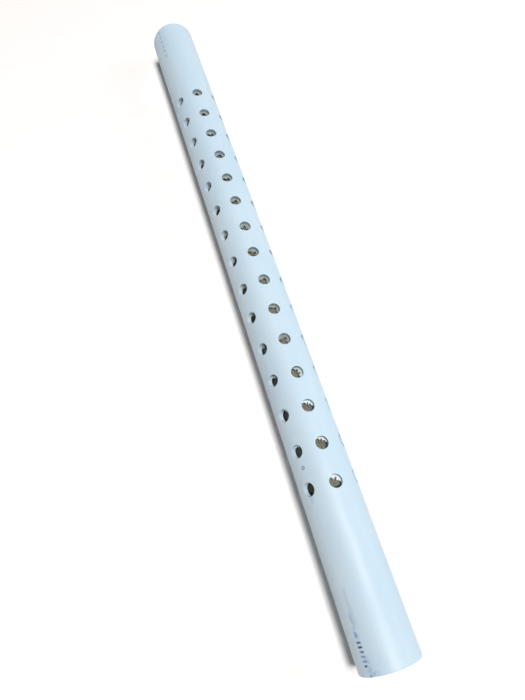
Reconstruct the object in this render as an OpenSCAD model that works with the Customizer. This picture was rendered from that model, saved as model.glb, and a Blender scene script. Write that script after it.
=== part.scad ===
// Guarded pond air stone: a drilled PVC guard pipe that lies on its side along Y,
// with a cartridge of porous stones on an air tube that draws out of the near end (-Y).
// The origin is on the ground under the middle of the pipe.

/* [Guard pipe] */
// Length of the guard pipe
pipe_len = 610; // [600:1:620]
// Outside diameter, a 1-1/4 inch nominal pipe
pipe_od = 42.16; // [42.0:0.02:42.3]
// Wall thickness of the guard pipe
pipe_wall = 3.56; // [3.4:0.02:3.6]

/* [Outlet holes] */
// Diameter of the drill
hole_d = 9.5; // [6:0.5:11]
// Number of rings of holes
ring_count = 15; // [10:1:15]
// Distance between rings
ring_pitch = 27.7; // [24:0.1:28]
// Distance from the near end to the first ring
near_margin = 114; // [112:1:116]
// Angle of the first row from the top of the pipe
row_lead = 7.5; // [0:0.5:20]
// How far the drill wanders along the pipe from its mark
wander_along = 0.5; // [0:0.1:1]
// How many degrees the drill wanders around the pipe
wander_around = 1.2; // [0:0.1:2]

/* [Stones] */
// Number of porous stones
stone_count = 4; // [4:1:4]
// Outside diameter of a stone
stone_od = 30; // [24:0.5:30.5]
// Length of a stone
stone_len = 97; // [94:0.5:97]
// Thickness of the gasket between stones
gasket_t = 2; // [1.5:0.5:2]

/* [Air tube] */
// Outside diameter of the air tube
tube_od = 8; // [8:0.1:8]
// Diameter of the air way
air_way_d = 4; // [3:0.2:4.2]

/* [Hidden] */
$fn = 96;

pipe_r = pipe_od / 2;
bore_r = pipe_r - pipe_wall;
tube_r = tube_od / 2;
slack = 0.05;          // running clearance on a radius
leg_gap = 0.35;        // from a centring leg to the bore
cut = 1;               // how far a cutter runs past a face

// Rows of holes as marked out by hand, in degrees from the first row
row_angles = [0, 59, 120, 181, 241, 304];

// Places along the pipe, measured from the near end
plug_s = 16;
plug_t = 14;
washer_t = 1.5;
wing_hub_t = 7;
tube_near_s = 5;
nut_t = 5;
nut_af = 13;
stack_s = 109;
cap_t = 5;
spider_t = 6;
stack_len = stone_count * stone_len + (stone_count + 1) * gasket_t;
stack_end_s = stack_s + stack_len;
bulkhead_s = 572;
bulkhead_t = 12;
bulkhead_end_s = bulkhead_s + bulkhead_t;
tube_far_s = bulkhead_s + 1;
air_way_s = 60;

// Inlet fitting
shank_r = 5;
shank_s = 556;
seal_t = 1.5;
flange_t = 4.5;
inlet_af = 17;
neck_r = 4;
neck_len = 6;
root_r = 3.4;
root_len = 1;
barb_len = 4.5;
barb_count = 2;
tail_len = neck_len + root_len + barb_count * barb_len;

// O-rings
plug_ring_r = 1.5;
spigot_ring_r = 0.7;
spigot_ring_s = 566;

// Puts a shape drawn along +Z onto the pipe's axis, at s from the near end
module along(s) {
    translate([0, s - pipe_len / 2, pipe_r]) rotate([-90, 0, 0]) children();
}

// A disc or tube with a round hole
module ring(outer, inner, t) {
    difference() {
        cylinder(r = outer, h = t);
        translate([0, 0, -cut]) cylinder(r = inner, h = t + 2 * cut);
    }
}

// A hexagon nut with chamfered corners
module hex_nut(af, bore, t) {
    corner_r = af / sqrt(3);
    difference() {
        intersection() {
            cylinder(r = corner_r, h = t, $fn = 6);
            cylinder(r1 = af / 2 + 0.2, r2 = af / 2 + 0.2 + t, h = t);
            translate([0, 0, -t]) cylinder(r1 = af / 2 + 0.2 + 2 * t, r2 = af / 2 + 0.2, h = 2 * t);
        }
        translate([0, 0, -cut]) cylinder(r = bore, h = t + 2 * cut);
    }
}

module o_ring(major, minor) {
    rotate_extrude() translate([major, 0]) circle(r = minor, $fn = 32);
}

// One radial drilled hole: ring i, row k
module outlet(i, k) {
    s_off = wander_along * sin(211 * i + 97 * k);
    a_off = wander_around * sin(137 * i + 61 * k + 30);
    translate([0, 0, near_margin + i * ring_pitch + s_off])
        rotate([0, 0, row_lead + row_angles[k] + a_off])
            rotate([90, 0, 0]) cylinder(d = hole_d, h = pipe_r + cut, $fn = 48);
}

module guard_pipe() {
    color("aliceblue") along(0) difference() {
        ring(pipe_r, bore_r, pipe_len);
        for (i = [0 : ring_count - 1], k = [0 : len(row_angles) - 1]) outlet(i, k);
    }
}

// Disc cemented into the far end
module far_bulkhead() {
    color("gainsboro") along(bulkhead_s) ring(bore_r - 0.02, shank_r + slack, bulkhead_t);
}

// Hose tail with a plain neck and two barbs, hexagon flange and threaded shank in one piece
module inlet_barb() {
    flange_s = bulkhead_end_s + seal_t;
    tail_s = flange_s + flange_t;
    color("darkgoldenrod") difference() {
        union() {
            along(shank_s) cylinder(r = shank_r, h = flange_s - shank_s);
            along(flange_s) cylinder(r = inlet_af / sqrt(3), h = flange_t, $fn = 6);
            along(tail_s) cylinder(r = neck_r, h = neck_len);
            along(tail_s) cylinder(r = root_r, h = tail_len);
            for (i = [0 : barb_count - 1])
                along(tail_s + neck_len + root_len + i * barb_len)
                    cylinder(r1 = neck_r, r2 = root_r, h = barb_len);
        }
        along(shank_s - cut) cylinder(r = air_way_d / 2, h = pipe_len);
        along(shank_s - cut) cylinder(r = tube_r + slack, h = tube_far_s - shank_s + cut + 1);
    }
}

module inlet_seal() {
    color("dimgray") along(bulkhead_end_s) ring(inlet_af / 2, shank_r + slack, seal_t);
}

module inlet_nut() {
    color("darkgoldenrod") along(bulkhead_s - nut_t) hex_nut(inlet_af, shank_r + slack, nut_t);
}

// Clean-out plug with a ribbed pocket in its face and a groove for its O-ring
module near_plug() {
    pocket_depth = 8;
    rib_count = 6;
    rib_t = 1.6;
    hub_r = 9;
    skirt_t = 3.2;
    plug_r = bore_r - 0.07;
    groove_r = plug_r - 2 * plug_ring_r;
    color("lightsteelblue") along(plug_s) difference() {
        cylinder(r = plug_r, h = plug_t);
        difference() {
            translate([0, 0, -cut]) cylinder(r = plug_r - skirt_t, h = pocket_depth - 2 + cut);
            cylinder(r = hub_r, h = pocket_depth);
            for (i = [0 : rib_count - 1]) rotate(i * 360 / rib_count)
                translate([0, -rib_t / 2, 0]) cube([plug_r, rib_t, pocket_depth]);
        }
        translate([0, 0, pocket_depth]) ring(plug_r + cut, groove_r, 2 * plug_ring_r + 0.2);
        translate([0, 0, -cut]) cylinder(r = tube_r + slack, h = plug_t + 2 * cut);
    }
}

module plug_o_ring() {
    color("black") along(plug_s + 9.6) o_ring(bore_r - 0.07 - plug_ring_r, plug_ring_r);
}

module plug_nut() {
    color("silver") along(plug_s + plug_t) hex_nut(nut_af, tube_r + slack, nut_t);
}

module nut_washer() {
    color("silver") along(plug_s - washer_t) ring(8, tube_r + slack, washer_t);
}

// Two-winged nut that clamps the plug to the air tube
module wing_nut() {
    hub_r = 6.4;
    wing_r = 13;
    wing_w = 6;
    wing_t = 2.4;
    lift = 3;
    color("silver") along(plug_s - washer_t - wing_hub_t) difference() {
        union() {
            cylinder(r1 = hub_r - 1, r2 = hub_r, h = wing_hub_t);
            for (side = [0, 180]) rotate(side) intersection() {
                translate([0, -wing_t / 2, -lift]) cube([wing_r, wing_t, wing_hub_t + lift - 1.5]);
                translate([wing_r - wing_w, 0, wing_w - lift])
                    rotate([90, 0, 0]) cylinder(r = wing_w, h = 2 * wing_t, center = true);
            }
            for (side = [0, 180]) rotate(side)
                translate([0, -wing_t / 2, 1]) cube([wing_r - wing_w, wing_t, 4]);
        }
        translate([0, 0, -lift - cut]) cylinder(r = tube_r + slack, h = wing_hub_t + lift + 2 * cut);
    }
}

// Central tube: carries air to the stones and ties the stack together
module air_tube() {
    feed_r = 0.8;
    feed_step = stone_len + gasket_t;
    color("silver") difference() {
        along(tube_near_s) cylinder(r = tube_r, h = tube_far_s - tube_near_s);
        along(air_way_s) cylinder(r = air_way_d / 2, h = tube_far_s - air_way_s + cut);
        along(spigot_ring_s) translate([0, 0, -spigot_ring_r - 0.1])
            ring(tube_r + cut, tube_r - 2 * spigot_ring_r, 2 * spigot_ring_r + 0.2);
        for (i = [0 : stone_count - 1], part = [0.3, 0.7])
            along(stack_s + gasket_t + i * feed_step + part * stone_len)
                rotate([90, 0, 0]) cylinder(r = feed_r, h = 2 * tube_od, center = true, $fn = 24);
    }
}

module spigot_o_ring() {
    color("black") along(spigot_ring_s) o_ring(tube_r - spigot_ring_r, spigot_ring_r);
}

// Hub on the air tube with three legs that centre it in the pipe
module spider() {
    leg_w = 5;
    leg_count = 3;
    hub_r = 8;
    difference() {
        union() {
            cylinder(r = hub_r, h = spider_t);
            intersection() {
                cylinder(r = bore_r - leg_gap, h = spider_t);
                for (i = [0 : leg_count - 1]) rotate(90 + i * 360 / leg_count)
                    translate([0, -leg_w / 2, 0]) cube([pipe_r, leg_w, spider_t]);
            }
        }
        translate([0, 0, -cut]) cylinder(r = tube_r + slack, h = spider_t + 2 * cut);
    }
}

module end_cap(taper) {
    difference() {
        cylinder(r1 = stone_od / 2 - taper, r2 = stone_od / 2 - 2 + taper, h = cap_t);
        translate([0, 0, -cut]) cylinder(r = tube_r + slack, h = cap_t + 2 * cut);
    }
}

module tie_nut_near() {
    color("silver") along(stack_s - cap_t - spider_t - nut_t) hex_nut(nut_af, tube_r + slack, nut_t);
}

module spider_near() {
    color("lightsteelblue") along(stack_s - cap_t - spider_t) spider();
}

module end_cap_near() {
    color("lightsteelblue") along(stack_s - cap_t) end_cap(2);
}

// Gasket i and stone i, counted from the near end
module gasket(i) {
    color("dimgray") along(stack_s + (i - 1) * (stone_len + gasket_t))
        ring(stone_od / 2 - 0.4, tube_r + slack, gasket_t);
}

module stone(i) {
    color("darkkhaki") along(stack_s + gasket_t + (i - 1) * (stone_len + gasket_t))
        ring(stone_od / 2, tube_r + 0.6, stone_len);
}

module end_cap_far() {
    color("lightsteelblue") along(stack_end_s) end_cap(0);
}

module spider_far() {
    color("lightsteelblue") along(stack_end_s + cap_t) spider();
}

module tie_nut_far() {
    color("silver") along(stack_end_s + cap_t + spider_t) hex_nut(nut_af, tube_r + slack, nut_t);
}

guard_pipe();
far_bulkhead();
inlet_barb();
inlet_seal();
inlet_nut();
near_plug();
plug_o_ring();
plug_nut();
nut_washer();
wing_nut();
air_tube();
spigot_o_ring();
tie_nut_near();
spider_near();
end_cap_near();
gasket(1);  // gasket_1
gasket(2);  // gasket_2
gasket(3);  // gasket_3
gasket(4);  // gasket_4
gasket(5);  // gasket_5
stone(1);  // stone_1
stone(2);  // stone_2
stone(3);  // stone_3
stone(4);  // stone_4
end_cap_far();
spider_far();
tie_nut_far();
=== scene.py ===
import math

import bmesh
import bpy
import numpy as np
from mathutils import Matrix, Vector


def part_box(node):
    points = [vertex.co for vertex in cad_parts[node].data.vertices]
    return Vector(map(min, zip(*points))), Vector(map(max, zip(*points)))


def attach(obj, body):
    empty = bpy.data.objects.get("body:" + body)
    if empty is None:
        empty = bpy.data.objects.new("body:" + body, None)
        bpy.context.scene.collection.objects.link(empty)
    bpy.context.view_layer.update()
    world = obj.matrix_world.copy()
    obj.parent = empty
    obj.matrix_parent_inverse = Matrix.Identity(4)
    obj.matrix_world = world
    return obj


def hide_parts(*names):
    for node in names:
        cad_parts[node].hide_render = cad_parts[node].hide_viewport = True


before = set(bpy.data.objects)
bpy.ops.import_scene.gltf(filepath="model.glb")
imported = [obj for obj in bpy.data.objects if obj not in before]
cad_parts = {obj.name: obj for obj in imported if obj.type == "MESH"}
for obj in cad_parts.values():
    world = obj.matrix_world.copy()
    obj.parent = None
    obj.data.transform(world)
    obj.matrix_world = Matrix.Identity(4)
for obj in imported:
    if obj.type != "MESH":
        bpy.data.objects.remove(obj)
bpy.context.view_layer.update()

# ---------------------------------------------------------------------------------------------
# Camera. It stands over the near half of the pipe and looks down along it, from a little to
# the left, with its horizon level.
# ---------------------------------------------------------------------------------------------
camera_data = bpy.data.cameras.new("camera")
camera_data.lens = 25.5
camera_data.sensor_width = 36.0
camera = bpy.data.objects.new("camera", camera_data)
bpy.context.scene.collection.objects.link(camera)
camera.location = (-0.0602, -0.2271, 0.3855)
camera_aim = Vector((-0.0138, -0.0754, 0.0211))
camera.rotation_euler = (camera_aim - camera.location).to_track_quat("-Z", "Y").to_euler()
bpy.context.scene.camera = camera

# ---------------------------------------------------------------------------------------------
# Guard pipe. Extruded white PVC pressure pipe, sawn square, deburred at its ends and drilled
# by hand through a marked-out grid, 15 rings of 6 holes, so that the drill wanders a little.
# ---------------------------------------------------------------------------------------------
pipe_low, pipe_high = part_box("guard_pipe")
pipe_r = (pipe_high[0] - pipe_low[0]) / 2
pipe_wall = 0.00356
bore_r = pipe_r - pipe_wall
near_y = pipe_low[1]
far_y = pipe_high[1]
axis_z = pipe_low[2] + pipe_r
hole_r = 0.00475
ring_count = 15
ring_pitch = 0.0277
near_margin = 0.114
row_lead = 7.5
row_angles = np.array([0, 59, 120, 181, 241, 304])
wander_along = 0.0005
wander_around = 1.2


def around_axis(radius, angle, y):
    """Points about the pipe's axis: angle runs from the top towards +X, y along the pipe."""
    radius, angle, y = np.broadcast_arrays(radius, angle, y)
    return np.stack([radius * np.sin(angle), y, axis_z + radius * np.cos(angle)], axis=-1)


def strip_faces(loops, points, closed_across=False):
    """Quads that join each loop of points to the next. Loops are closed along themselves, and
    closed_across also joins the last loop to the first."""
    here = np.arange(loops if closed_across else loops - 1)[:, None] * points
    there = (here + points) % (loops * points)
    along = np.arange(points)[None, :]
    after = (along + 1) % points
    return np.stack([here + along, here + after, there + after, there + along], -1).reshape(-1, 4)


def make_piece(name, parts, body, material, nodes=(), sharp=32):
    """One object from a list of (points, quads), with seams and poles merged and closed, edges
    sharper than the given angle kept sharp, riding on a body in place of its CAD nodes."""
    points = np.concatenate([p.reshape(-1, 3) for p, _ in parts])
    starts = np.cumsum([0] + [p.reshape(-1, 3).shape[0] for p, _ in parts[:-1]])
    quads = np.concatenate([q + start for (_, q), start in zip(parts, starts)])
    mesh = bpy.data.meshes.new(name)
    mesh.from_pydata(points.tolist(), [], quads.tolist())
    shape = bmesh.new()
    shape.from_mesh(mesh)
    bmesh.ops.remove_doubles(shape, verts=shape.verts, dist=2e-7)
    loose = [edge for edge in shape.edges if not edge.link_faces]
    bmesh.ops.delete(shape, geom=loose, context="EDGES")
    shape.to_mesh(mesh)
    shape.free()
    mesh.shade_smooth()
    mesh.set_sharp_from_angle(angle=math.radians(sharp))
    mesh.materials.append(material)
    piece = bpy.data.objects.new(name, mesh)
    bpy.context.scene.collection.objects.link(piece)
    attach(piece, body)
    if nodes:
        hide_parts(*nodes)
    return piece


def drilled_tube(outer, inner, ring_y, row_a, hole_y, hole_a, drill, ease, side, near, far,
                 shaped=None):
    """A tube with radial holes. Its skin is a grid of cells, one to a hole. In each cell, loops
    of points shrink from the cell's edge to the hole, roll over an eased edge, go down the
    drilled wall and spread again over the bore, and each point keeps its own direction from
    the hole's centre. Between them, near and far are outlines of (radius, y) that close the
    tube's ends, and shaped may change their radius with angle and y, as a thread does. side is
    the number of points on a cell's side."""
    middle_y = (ring_y[1:] + ring_y[:-1]) / 2
    edge_y = np.concatenate([[1.5 * ring_y[0] - 0.5 * ring_y[1]], middle_y,
                             [1.5 * ring_y[-1] - 0.5 * ring_y[-2]]])
    wrapped = np.concatenate([[row_a[-1] - math.tau], row_a, [row_a[0] + math.tau]])
    edge_a = (wrapped[1:] + wrapped[:-1]) / 2
    low_y, high_y = edge_y[:-1, None, None], edge_y[1:, None, None]
    low_a, high_a = edge_a[None, :-1, None], edge_a[None, 1:, None]
    step = np.arange(side) / side
    zero, one = np.zeros(side), np.ones(side)
    across = np.concatenate([step, one, 1 - step, zero])
    along = np.concatenate([zero, step, one, 1 - step])
    frame_a = low_a + (high_a - low_a) * across + 0 * low_y
    frame_y = low_y + (high_y - low_y) * along + 0 * low_a
    off_a = (frame_a - hole_a[..., None]) * outer
    off_y = frame_y - hole_y[..., None]
    turn = np.arctan2(off_y, off_a)

    def hole_loop(spread, radius):
        """Angle and y of a loop at one spread from the hole's centre, laid on a radius."""
        angle = hole_a[..., None] + np.arcsin(spread * np.cos(turn) / radius)
        return angle, hole_y[..., None] + spread * np.sin(turn)

    loops = []
    rim_a, rim_y = hole_loop(drill + ease, outer)
    for share in (0.0, 0.3, 0.6, 0.82, 0.94):
        angle = frame_a + (rim_a - frame_a) * share
        loops.append(around_axis(outer, angle, frame_y + (rim_y - frame_y) * share))
    for roll in np.radians([0, 30, 60, 90]):
        radius = outer - ease * (1 - math.cos(roll))
        angle, y = hole_loop(drill + ease * (1 - math.sin(roll)), radius)
        loops.append(around_axis(radius, angle, y))
    for depth in (0.15, 0.4, 0.7, 0.93, 1.0):
        radius = (outer - ease) + (inner - outer + ease) * depth
        angle, y = hole_loop(drill, radius)
        loops.append(around_axis(radius, angle, y))
    rim_a, rim_y = hole_loop(drill, inner)
    for share in (0.94, 0.75, 0.4, 0.0):
        angle = frame_a + (rim_a - frame_a) * share
        loops.append(around_axis(inner, angle, frame_y + (rim_y - frame_y) * share))
    cells = np.stack(loops, axis=2).reshape(-1, len(loops), 4 * side, 3)
    quads = strip_faces(len(loops), 4 * side)
    starts = np.arange(cells.shape[0])[:, None, None] * (len(loops) * 4 * side)
    parts = [(cells, (quads[None] + starts).reshape(-1, 4))]
    ring_a = (edge_a[:-1, None] + (edge_a[1:] - edge_a[:-1])[:, None] * step).ravel()
    for outline, edge, turned in ((near, edge_y[0], True), (far, edge_y[-1], False)):
        outline = [(outer, edge)] + outline + [(inner, edge)]
        radius, y = np.array(outline).T[:, :, None] + 0 * ring_a
        radius = shaped(radius, ring_a, y) if shaped else radius
        quads = strip_faces(len(outline), ring_a.size)
        parts.append((around_axis(radius, ring_a, y), quads[:, ::-1] if turned else quads))
    return parts


def pipe_end(end, inward):
    """Outline of a sawn end with an eased outer edge and a small broken inner edge."""
    ease = 0.0005
    stations = [(pipe_r, end + inward * d) for d in (0.09, 0.06, 0.035, 0.015, 0.005, 0.0012)]
    rolled = [(pipe_r - ease * (1 - math.cos(t)), end + inward * ease * (1 - math.sin(t)))
              for t in np.radians([0, 22, 45, 68, 90])]
    inner = [(bore_r + ease, end), (bore_r, end + inward * ease)]
    back = [(bore_r, end + inward * d) for d in (0.003, 0.01, 0.03, 0.06, 0.09)]
    return stations + rolled + inner + back


ring_index, row_index = np.meshgrid(np.arange(ring_count), np.arange(6), indexing="ij")
ring_y = near_y + near_margin + ring_pitch * np.arange(ring_count)
row_a = np.radians(row_lead + row_angles)
hole_y = ring_y[:, None] + wander_along * np.sin(np.radians(211 * ring_index + 97 * row_index))
hole_wander = wander_around * np.sin(np.radians(137 * ring_index + 61 * row_index + 30))
hole_a = row_a[None, :] + np.radians(hole_wander)


def add(tree, kind, inputs=None, **settings):
    """A node with its settings, each input fed from a socket or given a plain value."""
    node = tree.nodes.new("ShaderNode" + kind)
    for key, value in settings.items():
        setattr(node, key, value)
    for key, value in (inputs or {}).items():
        if isinstance(value, bpy.types.NodeSocket):
            tree.links.new(value, node.inputs[key])
        else:
            node.inputs[key].default_value = value
    return node


def calc(tree, operation, first, second=0.0):
    """The output of one Math node."""
    return add(tree, "Math", {0: first, 1: second}, operation=operation).outputs[0]


def soft_step(tree, value, low, high):
    """0 below low and 1 above high, smooth between. low may be the larger."""
    inputs = {"Value": value, "From Min": low, "From Max": high}
    return add(tree, "MapRange", inputs, interpolation_type="SMOOTHSTEP").outputs["Result"]


def tint(tree, factor, low, high):
    """One colour where factor is 0, the other where it is 1."""
    inputs = {0: factor, 6: low, 7: high}
    return add(tree, "Mix", inputs, data_type="RGBA").outputs[2]


def noise(tree, vector, scale, detail=3.0, rough=0.55):
    """The value of a noise, scale in bumps to the metre."""
    inputs = {"Vector": vector, "Scale": scale, "Detail": detail, "Roughness": rough}
    return add(tree, "TexNoise", inputs).outputs[0]


def stretched(tree, vector, scale):
    """The same coordinates scaled by a different amount on each axis."""
    return add(tree, "Mapping", {"Vector": vector, "Scale": scale}).outputs[0]


def new_material(name, rough, **shader_values):
    """A material with a Principled shader, and coordinates centred on the pipe's axis."""
    material = bpy.data.materials.new(name)
    material.use_nodes = True
    tree = material.node_tree
    shader = tree.nodes["Principled BSDF"]
    shader.inputs["Roughness"].default_value = rough
    for key, value in shader_values.items():
        shader.inputs[key.replace("_", " ")].default_value = value
    place = add(tree, "TexCoord").outputs["Object"]
    centred = add(tree, "Mapping", {"Vector": place, "Location": (0, 0, -axis_z)}).outputs[0]
    return material, tree, shader, centred


def new_group(name, inputs, outputs):
    """An empty node group with float or vector sockets. Returns it with its two end nodes."""
    group = bpy.data.node_groups.new(name, "ShaderNodeTree")
    for label, kind, value in inputs:
        socket = group.interface.new_socket(label, in_out="INPUT", socket_type="NodeSocket" + kind)
        if value is not None:
            socket.default_value = value
    for label in outputs:
        group.interface.new_socket(label, in_out="OUTPUT", socket_type="NodeSocketFloat")
    return group, group.nodes.new("NodeGroupInput"), group.nodes.new("NodeGroupOutput")


def use_group(tree, group, inputs):
    """The outputs of a group placed in a material."""
    node = add(tree, "Group", node_tree=group)
    for key, value in inputs.items():
        if isinstance(value, bpy.types.NodeSocket):
            tree.links.new(value, node.inputs[key])
        else:
            node.inputs[key].default_value = value
    return node.outputs


def bumped(tree, shader, height, distance, strength=1.0):
    """Feeds a height in metres through a Bump node into the shader's normal."""
    inputs = {"Height": height, "Distance": distance, "Strength": strength}
    tree.links.new(add(tree, "Bump", inputs).outputs[0], shader.inputs["Normal"])


def laid_over(tree, colour, mask, share, coat):
    """A colour with another laid over it where a mask is, at a share of full strength."""
    return tint(tree, calc(tree, "MULTIPLY", mask, share), colour, coat)


def feed_shader(tree, shader, colour, rough, *worn_by):
    """Feeds the shader a colour, and a roughness that is a plain value plus each mask times
    its own weight."""
    tree.links.new(colour, shader.inputs["Base Color"])
    total = None
    for mask, weight in worn_by:
        part = calc(tree, "MULTIPLY", mask, weight)
        total = calc(tree, "ADD", total, part) if total else part
    tree.links.new(calc(tree, "ADD", total, rough), shader.inputs["Roughness"])


# Handling: cloudy smears, and fine scratches that run mostly along the pipe.
handling, group_in, group_out = new_group(
    "handling", [("Vector", "Vector", None), ("Scale", "Float", 1.0)],
    ["Smear", "Scratch", "Speck"])
scaled = add(handling, "VectorMath", {0: group_in.outputs["Vector"]}, operation="SCALE")
handling.links.new(group_in.outputs["Scale"], scaled.inputs["Scale"])
scaled = scaled.outputs[0]
smear = noise(handling, stretched(handling, scaled, (60, 14, 60)), 1.0, 4.0)
strokes = noise(handling, stretched(handling, scaled, (1900, 60, 1900)), 1.0, 2.0)
patches = noise(handling, scaled, 45.0, 2.0)
scratch = calc(handling, "MULTIPLY", soft_step(handling, strokes, 0.66, 0.72),
               soft_step(handling, patches, 0.5, 0.66))
grains = add(handling, "TexVoronoi", {"Vector": scaled, "Scale": 420.0})
speck = calc(handling, "MULTIPLY", soft_step(handling, grains.outputs["Distance"], 0.16, 0.08),
             soft_step(handling, noise(handling, scaled, 90.0), 0.56, 0.66))
handling.links.new(soft_step(handling, smear, 0.35, 0.7), group_out.inputs["Smear"])
handling.links.new(scratch, group_out.inputs["Scratch"])
handling.links.new(speck, group_out.inputs["Speck"])

pvc_white = (0.520, 0.645, 0.735, 1)
pvc_cool = (0.485, 0.620, 0.725, 1)
pvc_scuffed = (0.575, 0.70, 0.775, 1)
dust_grey = (0.30, 0.33, 0.34, 1)
ink_blue = (0.020, 0.050, 0.200, 1)
ink_wash = (0.075, 0.175, 0.470, 1)

pvc, tree, shader, centred = new_material("white_pvc", 0.5, Specular_IOR_Level=0.35)
marks = use_group(tree, handling, {"Vector": centred, "Scale": 1.0})
colour = tint(tree, marks["Smear"], pvc_white, pvc_cool)
colour = laid_over(tree, colour, marks["Scratch"], 0.5, pvc_scuffed)
colour = laid_over(tree, colour, marks["Speck"], 0.35, dust_grey)
flat_x, flat_y, flat_z = add(tree, "SeparateXYZ", {0: centred}).outputs
mark_angle = math.radians(-46)
from_near = calc(tree, "SUBTRACT", flat_y, near_y)
turn_angle = calc(tree, "ARCTAN2", flat_x, flat_z)
print_arc = calc(tree, "MULTIPLY", calc(tree, "SUBTRACT", turn_angle, mark_angle), pipe_r)


def ink_bar(along, length, across, width, blur=0.0004):
    """A soft-edged bar of ink: along and across give its middle, from the near end and from
    the printed line."""
    far_off = calc(tree, "ABSOLUTE", calc(tree, "SUBTRACT", from_near, along))
    wide_off = calc(tree, "ABSOLUTE", calc(tree, "SUBTRACT", print_arc, across))
    return calc(tree, "MULTIPLY",
                soft_step(tree, far_off, length / 2 + blur, length / 2 - blur),
                soft_step(tree, wide_off, width / 2 + blur, width / 2 - blur))


# What is left of a line of printed ticks: bold at the near end, rubbed away further along.
tick_length = 0.0012
tick_width = 0.0034
ink = ink_bar(0.0062, tick_length, -0.0016, tick_width)
for tick, weight in ((0.0088, 0.55), (0.0114, 0.60), (0.0140, 1.0), (0.0166, 1.0), (0.0192, 0.9)):
    bar = calc(tree, "MULTIPLY", ink_bar(tick, tick_length, -0.0020, tick_width), weight)
    ink = calc(tree, "MAXIMUM", ink, bar)
# Ink dragged along the pipe by a thumb while it was wet. Each smudge has its distance from the
# near end, its length, its distance from the printed line, its width, strength and blur.
smudges = [(0.0008, 0.0018, -0.0008, 0.0018, 0.75, 0.0005),
           (0.0034, 0.0060, -0.0010, 0.0012, 0.55, 0.0009),
           (0.0050, 0.0120, 0.0000, 0.0026, 0.34, 0.0024),
           (0.0020, 0.0018, 0.0034, 0.0056, 0.46, 0.0012),
           (0.0238, 0.0040, -0.0022, 0.0022, 0.72, 0.0010),
           (0.0285, 0.0140, -0.0016, 0.0020, 0.40, 0.0016),
           (0.0390, 0.0220, 0.0000, 0.0018, 0.24, 0.0020),
           (0.1075, 0.0050, -0.0008, 0.0030, 0.22, 0.0014),
           (0.1215, 0.0020, -0.0004, 0.0014, 0.45, 0.0008),
           (0.1150, 0.0030, -0.0002, 0.0022, 0.30, 0.0010)]
wash = 0.0
for along, length, across, width, weight, blur in smudges:
    smudge = ink_bar(along, length, across, width, blur)
    wash = calc(tree, "MAXIMUM", wash, calc(tree, "MULTIPLY", smudge, weight))
# One small printed ring beside the first holes, and a row of plain dashes at the far end.
ring_along = 0.1294
ring_across = 0.0003
ring_mark_r = 0.0010
ring_off = calc(tree, "SQRT", calc(
    tree, "ADD", calc(tree, "POWER", calc(tree, "SUBTRACT", from_near, ring_along), 2.0),
    calc(tree, "POWER", calc(tree, "SUBTRACT", print_arc, ring_across), 2.0)))
ring_band = calc(tree, "ABSOLUTE", calc(tree, "SUBTRACT", ring_off, ring_mark_r))
ink = calc(tree, "MAXIMUM", ink, calc(tree, "MULTIPLY",
                                      soft_step(tree, ring_band, 0.0007, 0.0003), 0.6))
first_dash = 0.5695
dash_pitch = 0.0072
for number in range(6):
    dash = ink_bar(first_dash + dash_pitch * number, 0.0042, 0.0018, 0.0012, 0.0006)
    wash = calc(tree, "MAXIMUM", wash, calc(tree, "MULTIPLY", dash, 0.6))
# Ink sits on the outer skin only, and has rubbed off in patches.
outside = soft_step(tree, calc(tree, "SQRT", calc(
    tree, "ADD", calc(tree, "POWER", flat_x, 2.0), calc(tree, "POWER", flat_z, 2.0))),
    pipe_r - 0.0006, pipe_r - 0.0004)
worn = soft_step(tree, noise(tree, centred, 260.0, 1.0), 0.22, 0.50)
printed = calc(tree, "MULTIPLY", outside, worn)
colour = tint(tree, calc(tree, "MULTIPLY", wash, printed), colour, ink_wash)
colour = tint(tree, calc(tree, "MULTIPLY", ink, printed), colour, ink_blue)
feed_shader(tree, shader, colour, 0.46, (marks["Smear"], 0.10), (marks["Scratch"], 0.22))
die_lines = noise(tree, stretched(tree, centred, (900, 6, 900)), 1.0, 2.0)
height = calc(tree, "ADD", calc(tree, "MULTIPLY", die_lines, 0.35),
              calc(tree, "MULTIPLY", marks["Scratch"], -0.5))
# Saw lines, only on the two sawn faces.
saw_lines = noise(tree, stretched(tree, centred, (260, 1, 4200)), 1.0, 3.0)
sawn = soft_step(tree, calc(tree, "ABSOLUTE", flat_y), far_y - 0.0004, far_y - 0.00005)
saw_relief = calc(tree, "MULTIPLY", calc(tree, "MULTIPLY", saw_lines, sawn), 3.0)
bumped(tree, shader, calc(tree, "ADD", height, saw_relief), 0.00006, 0.5)

rim_ease = 0.00022
cell_side = 12
make_piece("guard_pipe_drilled",
           drilled_tube(pipe_r, bore_r, ring_y, row_a, hole_y, hole_a, hole_r, rim_ease,
                        cell_side, pipe_end(near_y, 1), pipe_end(far_y, -1)),
           "guard", pvc, ["guard_pipe"])

# ---------------------------------------------------------------------------------------------
# Drill burrs. Where the drill breaks through, it pushes thin white PVC flakes into the bore
# and leaves them hanging at the holes' inner edges, longest on the side it left last.
# ---------------------------------------------------------------------------------------------
rng = np.random.default_rng(7)
flake_steps = 40
flake_thick = 0.00014
rim_overlap = 0.00004
root_bury = 0.0002


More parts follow.
